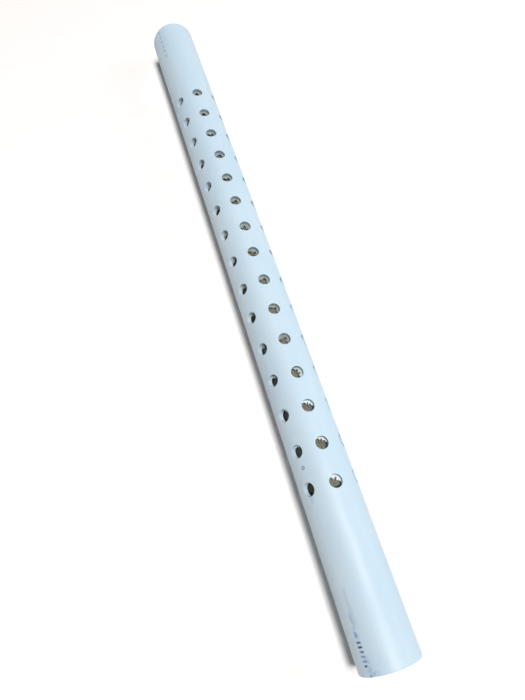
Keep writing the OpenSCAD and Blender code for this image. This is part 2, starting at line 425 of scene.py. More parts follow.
def burr_flakes():
    """Ragged flakes, one to a hole: each point of the inner edge reaches towards the hole's
    centre by a share that is largest in the flake's middle and is notched by a few teeth, and
    sinks towards the pipe's axis as it goes. The two faces meet at the tip and at both ends.
    At the first rings the flakes are narrow and stand up. From the fourth ring on the drill was
    blunt, and they are wider and bent further in."""
    holes = hole_a.size
    shape = (holes, flake_steps + 1)
    middle = np.radians(rng.normal(60, 24, holes))[:, None]
    blunt = np.clip((ring_index.reshape(-1, 1) - 2) / 2, 0, 1)
    half = np.radians(rng.uniform(45, 88, holes)[:, None] + 60 * blunt)
    longest = (rng.uniform(0.55, 0.98, holes)[:, None] * (1 - blunt)
               + rng.uniform(0.60, 0.94, holes)[:, None] * blunt) * hole_r
    share = np.linspace(-1, 1, flake_steps + 1)[None, :]
    turn = middle + half * share
    teeth = rng.uniform(0.8, 1.7, holes)[:, None]
    notch = np.abs(2 * ((share * teeth + rng.random(holes)[:, None]) % 1) - 1)
    tear = (0.30 + 0.70 * notch) * (0.75 + 0.25 * rng.random(shape))
    crown = np.clip(1 - np.abs(share) ** 3, 0, 1)
    reach = longest * tear * crown
    sink = (rng.uniform(0.08, 0.35, holes)[:, None] + 0.32 * blunt) * reach + 0.0001 * crown
    centre_a = hole_a.reshape(-1, 1)
    centre_y = hole_y.reshape(-1, 1)
    thick = flake_thick * crown
    loops = []
    for travel, side in ((0.0, 1), (0.35, 1), (0.7, 1), (1.0, 0), (0.7, -1), (0.35, -1),
                         (0.0, -1)):
        spread = hole_r + rim_overlap - reach * travel
        radius = bore_r + root_bury - sink * travel ** 1.5 + side * thick * (1 - 0.6 * travel)
        angle = centre_a + np.arcsin(spread * np.cos(turn) / radius)
        loops.append(around_axis(radius, angle, centre_y + spread * np.sin(turn)))
    points = np.stack(loops, axis=2)
    count = len(loops)
    along = np.arange(flake_steps)[:, None] * count
    across = np.arange(count)[None, :]
    after = (across + 1) % count
    one = np.stack([along + across, along + count + across, along + count + after,
                    along + after], -1).reshape(-1, 4)
    starts = np.arange(holes)[:, None, None] * (count * (flake_steps + 1))
    return [(points, (one[None] + starts).reshape(-1, 4))]


burr_pvc, tree, shader, centred = new_material("torn_pvc", 0.55, Specular_IOR_Level=0.4)
shreds = noise(tree, centred, 2600.0, 3.0)
clean = tint(tree, shreds, (0.50, 0.57, 0.60, 1), (0.78, 0.83, 0.84, 1))
# From the fourth ring on, the flakes are painted a dark grey-olive: painted shade for the flakes that hang
# in the dim bore.
far_flake_shade_grey = tint(tree, soft_step(tree, shreds, 0.40, 0.62), (0.12, 0.13, 0.11, 1),
             (0.40, 0.43, 0.42, 1))
flake_y = add(tree, "SeparateXYZ", {0: centred}).outputs[1]
far_ring_shade = soft_step(tree, flake_y, ring_y[2] + ring_pitch / 2, ring_y[3] + ring_pitch / 2)
tree.links.new(tint(tree, far_ring_shade, clean, far_flake_shade_grey), shader.inputs["Base Color"])
bumped(tree, shader, shreds, 0.00012, 0.6)
make_piece("drill_burrs", burr_flakes(), "guard", burr_pvc, sharp=50)

# ---------------------------------------------------------------------------------------------
# Stones. Four rings of coarse alumina grit, sintered with a glass bond, rough with open pores
# on the outside, and ground flat on the ends where the gaskets seal.
# ---------------------------------------------------------------------------------------------
stone_low, stone_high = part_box("stone_1")
stone_r = (stone_high[0] - stone_low[0]) / 2
stone_length = stone_high[1] - stone_low[1]
stone_bore_r = 0.0046
ground_r = 0.0085
stone_steps = 168
grit_step = 0.00052
pit_depth = 0.0009


def lattice_noise(rows, cols, cell_rows, cell_cols):
    """Smooth random bumps on a grid: random values on a coarse lattice, closed along the
    columns, eased between neighbours along both directions."""
    lattice = rng.random((cell_rows + 1, cell_cols))
    lattice = np.concatenate([lattice, lattice[:, :1]], axis=1)
    r = np.linspace(0, cell_rows, rows)[:, None] * 0.999999
    c = (np.arange(cols) / cols * cell_cols)[None, :]
    r0, c0 = np.floor(r).astype(int), np.floor(c).astype(int)
    fr, fc = r - r0, c - c0
    fr, fc = fr * fr * (3 - 2 * fr), fc * fc * (3 - 2 * fc)
    top = lattice[r0, c0] * (1 - fc) + lattice[r0, c0 + 1] * fc
    low = lattice[r0 + 1, c0] * (1 - fc) + lattice[r0 + 1, c0 + 1] * fc
    return top * (1 - fr) + low * fr


def grit_ring(start, end):
    """A ring of grit: the outline goes up the outside in half-millimetre steps and back down
    the bore, and the outside is pushed in by three sizes of random bumps."""
    rows = int((end - start) / grit_step)
    y = np.linspace(start + 0.0006, end - 0.0006, rows)
    angle = np.arange(stone_steps) / stone_steps * math.tau
    pits = (0.45 * lattice_noise(rows, stone_steps, rows // 3, stone_steps // 3)
            + 0.35 * lattice_noise(rows, stone_steps, rows // 8, stone_steps // 9)
            + 0.20 * rng.random((rows, stone_steps)))
    outer = stone_r - 0.00005 - pit_depth * np.clip(pits - 0.3, 0, 1)
    ends = np.full(stone_steps, stone_r - 0.0008)
    bore, ground = np.full(stone_steps, stone_bore_r), np.full(stone_steps, ground_r)
    radius = [bore, ground, ends, *outer, ends, ground, bore]
    height = [start, start, start, *y, end, end, end]
    points = around_axis(np.array(radius), angle[None, :], np.array(height)[:, None])
    return [(points, strip_faces(len(height), stone_steps, closed_across=True)[:, ::-1])]


grit, tree, shader, centred = new_material("sintered_grit", 0.93, Specular_IOR_Level=0.25)
grains = add(tree, "TexVoronoi", {"Vector": centred, "Scale": 1600.0, "Randomness": 1.0})
hue = add(tree, "SeparateXYZ", {0: grains.outputs["Color"]}).outputs[0]
pore_and_painted_shade = soft_step(tree, noise(tree, centred, 1500.0, 3.0, 0.65), 0.47, 0.38)
bloom = soft_step(tree, noise(tree, centred, 55.0, 4.0), 0.40, 0.68)
colour = tint(tree, hue, (0.140, 0.142, 0.102, 1), (0.300, 0.302, 0.230, 1))
colour = laid_over(tree, colour, bloom, 0.45, (0.210, 0.218, 0.165, 1))
# The pores are painted near black: painted shade in the pits, which the bump only dents.
colour = laid_over(tree, colour, pore_and_painted_shade, 0.85, (0.055, 0.052, 0.040, 1))
tree.links.new(colour, shader.inputs["Base Color"])
relief = calc(tree, "SUBTRACT", calc(tree, "MULTIPLY", grains.outputs["Distance"], -0.6), pore_and_painted_shade)
bumped(tree, shader, relief, 0.00035, 0.9)
for number in range(1, 5):
    low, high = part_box(f"stone_{number}")
    make_piece(f"stone_{number}_grit", grit_ring(low[1], high[1]), "cartridge", grit,
               [f"stone_{number}"], sharp=75)

# ---------------------------------------------------------------------------------------------
# Gaskets. Five rings die-cut from 2 mm black rubber sheet. The stack squeezes them, so their
# outer edges bulge a little past flat.
# ---------------------------------------------------------------------------------------------
def turned(outline, steps=96, shaped=None):
    """A closed outline of (radius, y) carried round the pipe's axis. The outline runs up the
    outside towards +Y and back down the inside, and shaped may change its radius with angle
    and y, as flats and threads do."""
    angle = np.arange(steps) / steps * math.tau
    radius, y = np.array(outline).T[:, :, None] + 0 * angle
    radius = shaped(radius, angle, y) if shaped else radius
    quads = strip_faces(len(outline), steps, closed_across=True)
    return [(around_axis(radius, angle, y), quads[:, ::-1])]


def eased(corners, reach, steps=4):
    """An outline with each corner cut back by reach on both sides and joined by a curve that
    leaves along one side and arrives along the other."""
    corners = [np.array(corner, float) for corner in corners]
    outline = []
    for before, corner, after in zip(corners[-1:] + corners[:-1], corners,
                                     corners[1:] + corners[:1]):
        to_before, to_after = before - corner, after - corner
        cut_before = min(reach, 0.45 * np.linalg.norm(to_before))
        cut_after = min(reach, 0.45 * np.linalg.norm(to_after))
        start = corner + to_before / max(np.linalg.norm(to_before), 1e-9) * cut_before
        end = corner + to_after / max(np.linalg.norm(to_after), 1e-9) * cut_after
        for t in np.linspace(0, 1, steps + 1):
            outline.append(tuple((1 - t) ** 2 * start + 2 * t * (1 - t) * corner + t * t * end))
    return outline


rubber, tree, shader, centred = new_material("sheet_rubber", 0.62, Specular_IOR_Level=0.35)
marks = use_group(tree, handling, {"Vector": centred, "Scale": 3.0})
colour = tint(tree, marks["Smear"], (0.018, 0.018, 0.018, 1), (0.045, 0.044, 0.042, 1))
feed_shader(tree, shader, colour, 0.5, (marks["Smear"], 0.2))
bumped(tree, shader, noise(tree, centred, 1800.0), 0.00005, 0.6)


def span(node):
    """Where a node starts and ends along the pipe, and its half width."""
    low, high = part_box(node)
    return low[1], high[1], (high[0] - low[0]) / 2


tube_bore_r = 0.00405
bulge = 0.0002
sheet_ease = 0.0003
for number in range(1, 6):
    start, end, outer = span(f"gasket_{number}")
    corners = [(tube_bore_r, start), (outer - bulge, start), (outer, (start + end) / 2),
               (outer - bulge, end), (tube_bore_r, end)]
    make_piece(f"gasket_{number}_rubber", turned(eased(corners, sheet_ease)), "cartridge", rubber,
               [f"gasket_{number}"])

# ---------------------------------------------------------------------------------------------
# End caps. Two discs turned from pale PVC rod that press on the first and last gasket. Each is
# coned on its free side and has two shallow grooves there.
# ---------------------------------------------------------------------------------------------
tool_marks, group_in, group_out = new_group(
    "tool_marks", [("Vector", "Vector", None), ("Fineness", "Float", 1.0)],
    ["Turned", "Drawn", "Tarnish"])
mark_x, mark_y, mark_z = add(tool_marks, "SeparateXYZ", {0: group_in.outputs["Vector"]}).outputs
mark_r = calc(tool_marks, "SQRT", calc(tool_marks, "ADD", calc(tool_marks, "POWER", mark_x, 2.0),
                                       calc(tool_marks, "POWER", mark_z, 2.0)))
lathe = add(tool_marks, "CombineXYZ", {0: mark_r, 1: mark_y}).outputs[0]
lathe = add(tool_marks, "VectorMath", {0: lathe}, operation="SCALE")
tool_marks.links.new(group_in.outputs["Fineness"], lathe.inputs["Scale"])
rings = noise(tool_marks, stretched(tool_marks, lathe.outputs[0], (4200, 4200, 1)), 1.0, 2.0)
drawn = noise(tool_marks, stretched(tool_marks, group_in.outputs["Vector"], (3600, 22, 3600)),
              1.0, 3.0)
stains = noise(tool_marks, group_in.outputs["Vector"], 160.0, 5.0, 0.62)
tool_marks.links.new(rings, group_out.inputs["Turned"])
tool_marks.links.new(drawn, group_out.inputs["Drawn"])
tool_marks.links.new(soft_step(tool_marks, stains, 0.42, 0.66), group_out.inputs["Tarnish"])

rod_pvc, tree, shader, centred = new_material("turned_pvc", 0.45, Specular_IOR_Level=0.4)
cuts = use_group(tree, tool_marks, {"Vector": centred, "Fineness": 1.0})
marks = use_group(tree, handling, {"Vector": centred, "Scale": 2.0})
colour = tint(tree, marks["Smear"], (0.40, 0.47, 0.52, 1), (0.34, 0.41, 0.47, 1))
colour = laid_over(tree, colour, marks["Speck"], 0.5, (0.16, 0.17, 0.16, 1))
feed_shader(tree, shader, colour, 0.3, (cuts["Turned"], 0.3))
bumped(tree, shader, cuts["Turned"], 0.00005, 0.7)


def cap_outline(inner_face, outer_face, rim_r):
    """Outline of a coned disc from its gasket side to its free side, with two grooves of half
    a millimetre in the free face."""
    away = 1 if outer_face > inner_face else -1
    rim_land = 0.0008
    groove_depth = 0.0005
    face_r = rim_r - 0.002
    floor_y = outer_face - away * groove_depth
    corners = [(tube_bore_r, inner_face), (rim_r, inner_face),
               (rim_r, inner_face + away * rim_land), (face_r, outer_face)]
    for groove_r in (face_r - 0.0012, face_r - 0.0028):
        corners += [(groove_r, outer_face), (groove_r - 0.0001, floor_y),
                    (groove_r - 0.0006, floor_y), (groove_r - 0.0007, outer_face)]
    corners += [(tube_bore_r, outer_face)]
    return eased(corners if away > 0 else corners[::-1], 0.0002)


for end, near_is_free in (("near", True), ("far", False)):
    start, stop, outer = span(f"end_cap_{end}")
    faces = (stop, start) if near_is_free else (start, stop)
    make_piece(f"end_cap_{end}_turned", turned(cap_outline(*faces, outer)), "cartridge",
               rod_pvc, [f"end_cap_{end}"], sharp=28)

# ---------------------------------------------------------------------------------------------
# Spiders. Two injection-moulded stars that keep the cartridge in the middle of the pipe: a hub
# on the air tube and three legs with filleted roots and rounded tips.
# ---------------------------------------------------------------------------------------------
moulded, tree, shader, centred = new_material("moulded_plastic", 0.42, Specular_IOR_Level=0.45)
marks = use_group(tree, handling, {"Vector": centred, "Scale": 1.6})
flow = noise(tree, stretched(tree, centred, (260, 90, 260)), 1.0, 4.0, 0.6)
colour = tint(tree, soft_step(tree, flow, 0.35, 0.65), (0.26, 0.34, 0.41, 1),
              (0.315, 0.395, 0.46, 1))
colour = laid_over(tree, colour, marks["Scratch"], 0.6, (0.46, 0.53, 0.58, 1))
colour = laid_over(tree, colour, marks["Speck"], 0.5, (0.14, 0.15, 0.15, 1))
feed_shader(tree, shader, colour, 0.34, (marks["Smear"], 0.18))
orange_peel = noise(tree, centred, 1500.0, 2.0)
bumped(tree, shader, calc(tree, "SUBTRACT", orange_peel, marks["Scratch"]), 0.00004, 0.6)


def star_outline(hub_r, tip_r, leg_half, fillet, tip_ease):
    """Radius and angle round a three-legged star. Half a leg is worked out along (distance,
    offset): a tip arc, an eased corner, a straight flank, a fillet of the given radius that
    touches flank and hub, and the hub's arc. It is then mirrored and turned to each leg."""
    corner = math.asin((leg_half - tip_ease) / tip_r)
    tip = [(tip_r * math.cos(t), tip_r * math.sin(t)) for t in np.linspace(0, corner, 6)]
    roll = [(tip_r - 0.0004 - tip_ease * (1 - math.cos(t)), leg_half - tip_ease * (1 - math.sin(t)))
            for t in np.radians([25, 50, 75, 90])]
    reach = math.sqrt((hub_r + fillet) ** 2 - (leg_half + fillet) ** 2)
    touch = math.atan2(leg_half + fillet, reach)
    flank = [(d, leg_half) for d in np.linspace(tip_r - 0.0016, reach, 9)]
    round_in = [(reach - fillet * math.sin(t), leg_half + fillet * (1 - math.cos(t)))
                for t in np.linspace(0, math.pi / 2 - touch, 7)[1:]]
    hub = [(hub_r * math.cos(t), hub_r * math.sin(t)) for t in np.linspace(touch, math.pi / 3, 9)]
    half = np.array(tip + roll + flank[1:] + round_in + hub[1:])
    radius, offset = np.hypot(half[:, 0], half[:, 1]), np.arctan2(half[:, 1], half[:, 0])
    legs = [math.pi, -math.pi / 3, math.pi / 3]
    radius = np.concatenate([radius, radius[-2:0:-1]])
    offset = np.concatenate([offset, math.tau / 3 - offset[-2:0:-1]])
    return np.tile(radius, 3), np.concatenate([offset + legs[0] + math.tau / 3 * k
                                               for k in range(3)])


def star_ring(start, end, hub_r, tip_r, leg_half, bore_r):
    """A star with rolled edges: rows go from the bore over the near face, round the rim and
    over the far face back to the bore. Near the rim each row is the outline pushed in along its
    own normals, by an amount that follows a quarter circle."""
    root_fillet = 0.0022
    tip_ease = 0.0008
    radius, angle = star_outline(hub_r, tip_r, leg_half, root_fillet, tip_ease)
    outline = np.stack([radius * np.sin(angle), radius * np.cos(angle)], -1)
    tangent = np.roll(outline, -1, axis=0) - np.roll(outline, 1, axis=0)
    normal = np.stack([-tangent[:, 1], tangent[:, 0]], -1)
    normal /= np.linalg.norm(normal, axis=1, keepdims=True)
    inward = normal * np.sign((normal * -outline).sum(1))[:, None]
    roll = 0.0005
    bore_ease = 0.0003
    bore = np.stack([bore_r * np.sin(angle), bore_r * np.cos(angle)], -1)
    bore_wide = bore * (1 + bore_ease / bore_r)
    inset = outline + inward * roll
    rows = [(bore, start + bore_ease), (bore_wide, start)]
    rows += [(bore_wide + (inset - bore_wide) * t, start) for t in (0.35, 0.7, 1.0)]
    rows += [(outline + inward * roll * (1 - math.sin(t)), start + roll * (1 - math.cos(t)))
             for t in np.radians([30, 60, 90])]
    rows += [(outline + inward * roll * (1 - math.sin(t)), end - roll * (1 - math.cos(t)))
             for t in np.radians([90, 60, 30])]
    rows += [(bore_wide + (inset - bore_wide) * t, end) for t in (1.0, 0.7, 0.35)]
    rows += [(bore_wide, end), (bore, end - bore_ease)]
    points = np.stack([np.stack([flat[:, 0], np.full(len(flat), y), axis_z + flat[:, 1]], -1)
                       for flat, y in rows])
    return [(points, strip_faces(len(rows), len(radius), closed_across=True)[:, ::-1])]


spider_hub_r = 0.008
spider_leg_half = 0.0025
for end in ("near", "far"):
    low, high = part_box(f"spider_{end}")
    leg_tip_r = axis_z - low[2]
    make_piece(f"spider_{end}_star",
               star_ring(low[1], high[1], spider_hub_r, leg_tip_r, spider_leg_half, tube_bore_r),
               "cartridge", moulded, [f"spider_{end}"], sharp=40)

# ---------------------------------------------------------------------------------------------
# Air tube. Thick-walled stainless tube, drawn, with a rolled thread at each end of the stack, a
# blind near end, pairs of small feed holes inside every stone, and a groove for its O-ring.
# ---------------------------------------------------------------------------------------------
stainless, tree, shader, centred = new_material("stainless_steel", 0.3, Metallic=1.0)
cuts = use_group(tree, tool_marks, {"Vector": centred, "Fineness": 1.0})
marks = use_group(tree, handling, {"Vector": centred, "Scale": 2.0})
colour = tint(tree, cuts["Drawn"], (0.47, 0.47, 0.46, 1), (0.62, 0.62, 0.60, 1))
colour = laid_over(tree, colour, cuts["Tarnish"], 0.35, (0.36, 0.34, 0.31, 1))
feed_shader(tree, shader, colour, 0.16, (cuts["Drawn"], 0.22), (marks["Smear"], 0.14))
bumped(tree, shader, calc(tree, "SUBTRACT", cuts["Drawn"], marks["Scratch"]), 0.00002, 0.6)


def threaded(radius, angle, y, nominal, start, end, pitch, depth):
    """A thread cut where the radius is the nominal one. The depth follows a triangle wave with
    flat crests and roots along y, moves on by one pitch a turn, and fades in over a pitch at
    start and end. A negative depth cuts outwards, into a bore."""
    wave = np.abs(2 * ((y / pitch - angle / math.tau) % 1) - 1)
    profile = np.clip(1.6 * wave - 0.3, 0, 1)
    fade = np.clip(np.minimum(y - start, end - y) / pitch, 0, 1)
    here = np.abs(radius - nominal) < 1e-7
    return np.where(here, radius - depth * profile * fade, radius)


def rows_between(radius, start, end, step):
    """Outline points at one radius from start to end, about a step apart."""
    count = max(int(abs(end - start) / step), 1)
    return [(radius, y) for y in np.linspace(start, end, count + 1)]


tube_start, tube_end, tube_r = span("air_tube")
air_way_r = 0.002
air_way_y = near_y + 0.060
m8_pitch = 0.00125
m8_depth = 0.0006
feed_hole_r = 0.0008
feed_ease = 0.0001
feed_side = 20
feed_y = np.concatenate([[span(f"stone_{number}")[0] + share * stone_length
                          for share in (0.3, 0.7)] for number in range(1, 5)])
feed_hole_y = feed_y[:, None] + np.zeros(2)
feed_hole_a = np.array([[0.0, math.pi]]) + 0 * feed_hole_y
near_thread = (tube_start + 0.0006, span("end_cap_near")[0])
far_thread = (span("end_cap_far")[1], span("tie_nut_far")[1] + 0.003)
groove_y = near_y + 0.566
groove_half = 0.0008
groove_floor_r = 0.0026


def tube_threads(radius, angle, y):
    """The near and far threads of the air tube."""
    radius = threaded(radius, angle, y, tube_r, *near_thread, m8_pitch, m8_depth)
    return threaded(radius, angle, y, tube_r, *far_thread, m8_pitch, m8_depth)


sample = m8_pitch / 8
tube_near = ([(tube_r, feed_y[0] - 0.025)] + rows_between(tube_r, *near_thread[::-1], sample)
             + [(tube_r - 0.0007, tube_start), (0.001, tube_start), (0, tube_start),
                (0, air_way_y), (air_way_r, air_way_y + 0.001), (air_way_r, air_way_y + 0.01)])
tube_far = (rows_between(tube_r, *far_thread, sample)
            + eased([(tube_r, far_thread[1] + 0.01), (tube_r, groove_y - groove_half),
                     (groove_floor_r, groove_y - groove_half),
                     (groove_floor_r, groove_y + groove_half),
                     (tube_r, groove_y + groove_half), (tube_r, tube_end), (air_way_r, tube_end),
                     (air_way_r, tube_end - 0.01)], 0.00012, 2)[3:-3])
make_piece("air_tube_drawn",
           drilled_tube(tube_r, air_way_r, feed_y, np.array([0.0, math.pi]), feed_hole_y,
                        feed_hole_a, feed_hole_r, feed_ease, feed_side, tube_near, tube_far,
                        tube_threads),
           "cartridge", stainless, ["air_tube"], sharp=35)

# ---------------------------------------------------------------------------------------------
# Nuts. Three M8 stainless nuts on the air tube and one thin brass nut behind the bulkhead, cold
# forged, chamfered on both faces and tapped.
# ---------------------------------------------------------------------------------------------
def flats(radius, angle, across):
    """A radius held inside a hexagon with flats above and below: half the width across flats
    over the cosine of the angle from the nearest flat's middle."""
    off = (angle + math.pi / 6) % (math.pi / 3) - math.pi / 6
    return np.minimum(radius, across / 2 / np.cos(off))


def hex_nut(start, end, across, nominal, pitch):
    """A hexagon nut: faces, chamfer cones that the flats cut off, and a tapped bore."""
    corner = across / math.sqrt(3)
    edge = across / 2 + 0.0002
    near_cone = [(edge - 0.0002, start)]
    near_cone += [(edge + d, start + d) for d in (0.0001, 0.0003, 0.0005, 0.0007)]
    far_cone = [(radius, end - (y - start)) for radius, y in near_cone[::-1]]
    wide = nominal + 0.0005
    outline = ([(nominal, start + 0.0006), (wide, start), ((wide + edge) / 2, start)] + near_cone
               + [(corner, start + 0.001), (corner, (start + end) / 2), (corner, end - 0.001)]
               + far_cone + [((wide + edge) / 2, end), (wide, end)]
               + rows_between(nominal, end - 0.0006, start + 0.0006, pitch / 8)[:-1])

    def shaped(radius, angle, y):
        """The bore's thread, then the flats."""
        radius = threaded(radius, angle, y, nominal, start, end, pitch, -0.45 * pitch)
        return flats(radius, angle, across)

    return turned(outline, 96, shaped)


m8_across = 0.013
for node in ("plug_nut", "tie_nut_near", "tie_nut_far"):
    start, stop, _ = span(node)
    make_piece(f"{node}_hex", hex_nut(start, stop, m8_across, tube_bore_r, m8_pitch),
               "cartridge", stainless, [node], sharp=26)

brass, tree, shader, centred = new_material("brass", 0.3, Metallic=1.0)
cuts = use_group(tree, tool_marks, {"Vector": centred, "Fineness": 0.8})
marks = use_group(tree, handling, {"Vector": centred, "Scale": 2.5})
colour = tint(tree, cuts["Turned"], (0.66, 0.46, 0.18, 1), (0.78, 0.58, 0.27, 1))
colour = laid_over(tree, colour, cuts["Tarnish"], 0.45, (0.40, 0.26, 0.11, 1))
feed_shader(tree, shader, colour, 0.20, (cuts["Tarnish"], 0.25), (marks["Smear"], 0.10))
bumped(tree, shader, cuts["Turned"], 0.00003, 0.7)
start, stop, corner = span("inlet_nut")
inlet_across = corner * math.sqrt(3)
shank_r = 0.005
shank_bore_r = shank_r + 0.00005
m10_pitch = 0.001
make_piece("inlet_nut_hex", hex_nut(start, stop, inlet_across, shank_bore_r, m10_pitch), "guard",
           brass, ["inlet_nut"], sharp=26)

# ---------------------------------------------------------------------------------------------
# Inlet hose tail. One brass turning: threaded shank with a socket for the air tube, hexagon
# flange, plain neck and two barbs, drilled through for the air.
# ---------------------------------------------------------------------------------------------
shank_start, tail_end, corner = span("inlet_barb")
flange_start = span("inlet_seal")[1]
flange_end = flange_start + 0.0045
neck_r = 0.004
root_r = 0.0034
neck_end = flange_end + 0.006
barb_count = 2
barb_step = (tail_end - neck_end - 0.001) / barb_count
flange_edge = inlet_across / 2 + 0.0002
socket_floor = near_y + 0.574
thread_start = shank_start + 0.0005
thread_end = flange_start - 0.0012
outline = [(tube_bore_r, shank_start + 0.0003), (tube_bore_r + 0.0003, shank_start),
           (shank_r - 0.0004, shank_start), (shank_r, shank_start + 0.0004)]
outline += rows_between(shank_r, thread_start, thread_end, m10_pitch / 8)
outline += [(shank_r - 0.0005, flange_start - 0.0009), (shank_r - 0.0005, flange_start),
            (flange_edge - 0.001, flange_start)]
outline += [(flange_edge + d, flange_start + d) for d in (0, 0.0003, 0.0006, 0.0009)]
outline += [(corner, flange_start + 0.0012), (corner, flange_end - 0.0012)]
outline += [(flange_edge + d, flange_end - d) for d in (0.0009, 0.0006, 0.0003, 0)]
outline += [(flange_edge - 0.001, flange_end), (neck_r + 0.0003, flange_end),
            (neck_r, flange_end + 0.0003), (neck_r, neck_end - 0.0002),
            (neck_r - 0.0002, neck_end), (root_r, neck_end + 0.0001)]
for barb in range(barb_count):
    barb_start = neck_end + 0.001 + barb * barb_step
    outline += [(root_r, barb_start - 0.0001), (root_r + 0.0002, barb_start),
                (neck_r - 0.0002, barb_start), (neck_r, barb_start + 0.00015)]
    outline += [(neck_r + (root_r - neck_r) * t, barb_start + barb_step * t)
                for t in (0.25, 0.5, 0.75, 0.96)]
outline += [(root_r - 0.0002, tail_end), (air_way_r + 0.0003, tail_end),
            (air_way_r, tail_end - 0.0003), (air_way_r, socket_floor),
            (tube_bore_r, socket_floor - 0.0006), (tube_bore_r, shank_start + 0.004)]


def barb_shape(radius, angle, y):
    """The shank's thread and the flange's flats."""
    radius = threaded(radius, angle, y, shank_r, thread_start, thread_end, m10_pitch, 0.0005)
    return flats(radius, angle, inlet_across)


make_piece("inlet_barb_turned", turned(outline, 96, barb_shape), "guard", brass,
           ["inlet_barb"], sharp=26)

# ---------------------------------------------------------------------------------------------
# Inlet seal. A ring of black sheet rubber under the brass flange, bulged by the squeeze.
# ---------------------------------------------------------------------------------------------
start, stop, outer = span("inlet_seal")
bulge = 0.0001
corners = [(shank_bore_r, start), (outer - bulge, start), (outer + bulge, (start + stop) / 2),
           (outer - bulge, stop), (shank_bore_r, stop)]
make_piece("inlet_seal_rubber", turned(eased(corners, sheet_ease)), "guard", rubber,
           ["inlet_seal"])

# ---------------------------------------------------------------------------------------------
# Far bulkhead. A thick disc turned from pale PVC and cemented into the pipe, with a bead of
# squeezed-out cement round its outer edge.
# ---------------------------------------------------------------------------------------------
start, stop, outer = span("far_bulkhead")
disc_ease = 0.0004
corners = [(shank_bore_r, start), (outer, start), (outer, stop), (shank_bore_r, stop)]
make_piece("far_bulkhead_turned", turned(eased(corners, disc_ease)), "guard", rod_pvc,
           ["far_bulkhead"])

cement, tree, shader, centred = new_material("pipe_cement", 0.25, Specular_IOR_Level=0.5)
cloud = noise(tree, centred, 240.0, 4.0)
tree.links.new(tint(tree, cloud, (0.50, 0.56, 0.58, 1), (0.62, 0.66, 0.64, 1)),
               shader.inputs["Base Color"])
bumped(tree, shader, cloud, 0.0002, 0.4)


def cement_bead(y, rim_r):
    """A bead in the corner between disc and bore: a quarter-round section whose size swells
    and shrinks round the pipe by three sine waves."""
    steps = 144
    angle = np.arange(steps) / steps * math.tau
    size = 0.0010 + 0.0003 * np.sin(3 * angle + 1) + 0.0002 * np.sin(7 * angle) \
        + 0.0001 * np.sin(17 * angle + 2)
    turn = np.linspace(0, math.pi / 2, 8)[:, None]
    radius = rim_r - size * (1 - np.sin(turn))
    height = y - 0.00005 + size * (1 - np.cos(turn))
    radius = np.concatenate([radius, np.full((1, steps), rim_r)])
    height = np.concatenate([height, np.full((1, steps), y - 0.0003)])
    points = around_axis(radius, angle, height)
    return [(points, strip_faces(len(radius), steps, closed_across=True))]


make_piece("cement_bead", cement_bead(stop, outer), "guard", cement)

# ---------------------------------------------------------------------------------------------
# Near plug. An injection-moulded clean-out plug: hub, skirt and six ribs round a pocket in its
# face, and a groove in its rim for the O-ring. It slides into the pipe's mouth.
# ---------------------------------------------------------------------------------------------
plug_start, _, plug_r = span("near_plug")
pocket_depth = 0.006
rib_offsets = np.array([0, 0.5, 0.66, 0.74, 0.82, 0.92, 1.05, 1.2]) * 0.001
rib_depths = np.array([0, 0, 0.02, 0.2, 0.8, 0.97, 1, 1])
plug_ring_y = plug_start + 0.0096


def ribbed_plug():
    """The plug as rows of (radius, depth, pocket share), in millimetres, from its bore over its
    face, down its rim, round the O-ring groove and back. Between two ribs the columns keep fixed distances
    from each rib's middle plane and share out the rest of the angle, and the face sinks by
    the pocket's depth times the row's share times the column's."""
    rows = [(4.05, 0.4, 0), (4.4, 0.0, 0), (6.5, 0, 0), (8.5, 0, 0), (8.85, 0, 0),
            (8.97, 0.1, 0), (9.03, 0.1, 0.1), (9.15, 0.1, 0.9), (9.3, 0.1, 1), (10.5, 0.1, 1),
            (12.5, 0.1, 1), (13.95, 0.1, 1), (14.1, 0.1, 0.9), (14.2, 0.1, 0.1),
            (14.26, 0.1, 0), (14.4, 0, 0), (15.8, 0, 0), (16.9, 0, 0), (17.2, 0.08, 0),
            (17.38, 0.28, 0), (17.45, 0.6, 0), (17.45, 4, 0), (17.45, 7.8, 0), (17.3, 8, 0),
            (14.6, 8, 0), (14.45, 8.15, 0), (14.45, 11.05, 0), (14.6, 11.2, 0),
            (17.3, 11.2, 0), (17.45, 11.4, 0), (17.45, 13.5, 0), (17.3, 13.85, 0),
            (17.0, 14, 0), (10, 14, 0), (4.4, 14, 0), (4.05, 13.6, 0), (4.05, 7, 0)]
    radius, depth, share = np.array(rows).T[:, :, None]
    radius, depth = radius * 0.001, depth * 0.001
    near_rib = np.arcsin(rib_offsets / radius)
    edge = near_rib[:, -1:]
    between = edge + (math.pi / 3 - 2 * edge) * np.linspace(0, 1, 8)[1:-1]
    far_rib = math.pi / 3 - near_rib[:, :0:-1]
    sector = np.concatenate([near_rib, between, far_rib], axis=1)
    sink = np.concatenate([rib_depths, np.ones(6), rib_depths[:0:-1]])
    angle = np.concatenate([sector + math.pi / 6 + math.pi / 3 * k for k in range(6)], axis=1)
    y = plug_start + depth + pocket_depth * share * np.tile(sink, 6)
    quads = strip_faces(len(rows), angle.shape[1], closed_across=True)
    return [(around_axis(radius, angle, y), quads[:, ::-1])]


make_piece("near_plug_moulded", ribbed_plug(), "cartridge", moulded,
           ["near_plug"], sharp=34)

# ---------------------------------------------------------------------------------------------
# O-rings. Moulded nitrile rings, a large one in the plug's groove and a small one on the air
# tube's spigot, each with a faint flash line where its mould parted.
# ---------------------------------------------------------------------------------------------
nitrile, tree, shader, centred = new_material("nitrile_rubber", 0.38, Specular_IOR_Level=0.45)
marks = use_group(tree, handling, {"Vector": centred, "Scale": 4.0})
colour = tint(tree, marks["Smear"], (0.014, 0.014, 0.015, 1), (0.035, 0.035, 0.036, 1))
feed_shader(tree, shader, colour, 0.28, (marks["Smear"], 0.2))
bumped(tree, shader, noise(tree, centred, 2500.0), 0.00003, 0.5)


